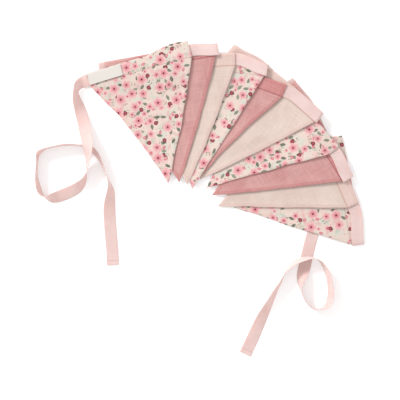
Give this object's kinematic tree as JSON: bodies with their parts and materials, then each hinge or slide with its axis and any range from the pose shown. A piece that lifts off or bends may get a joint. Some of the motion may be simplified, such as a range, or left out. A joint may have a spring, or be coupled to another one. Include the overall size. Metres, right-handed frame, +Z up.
{
  "type": "fabric bunting",
  "caption": "Bunting of printed and plain cloth pennants on one tape, folded back and forth into a flat fan with two loose tails.",
  "frame": {"origin": "middle of the outline in plan, on the surface that the folded bunting lies on", "axes": "+Z up from the surface, +X towards the right of the fan, along its longer side, +Y towards the top pennant's heading"},
  "size_m": [0.4936, 0.4734, 0.0279],
  "materials": {
    "floral_cotton": "matte",
    "rose_muslin": "matte",
    "cream_linen": "matte",
    "pink_tape": "matte",
    "white_label": "matte"
  },
  "bodies": {
    "root": {"pennant_01": "floral_cotton", "pennant_02": "rose_muslin", "pennant_03": "cream_linen", "pennant_04": "floral_cotton", "pennant_05": "rose_muslin", "pennant_06": "cream_linen", "pennant_07": "floral_cotton", "pennant_08": "rose_muslin", "pennant_09": "cream_linen", "pennant_10": "floral_cotton", "tape": "pink_tape", "label": "white_label"}
  },
  "joints": []
}
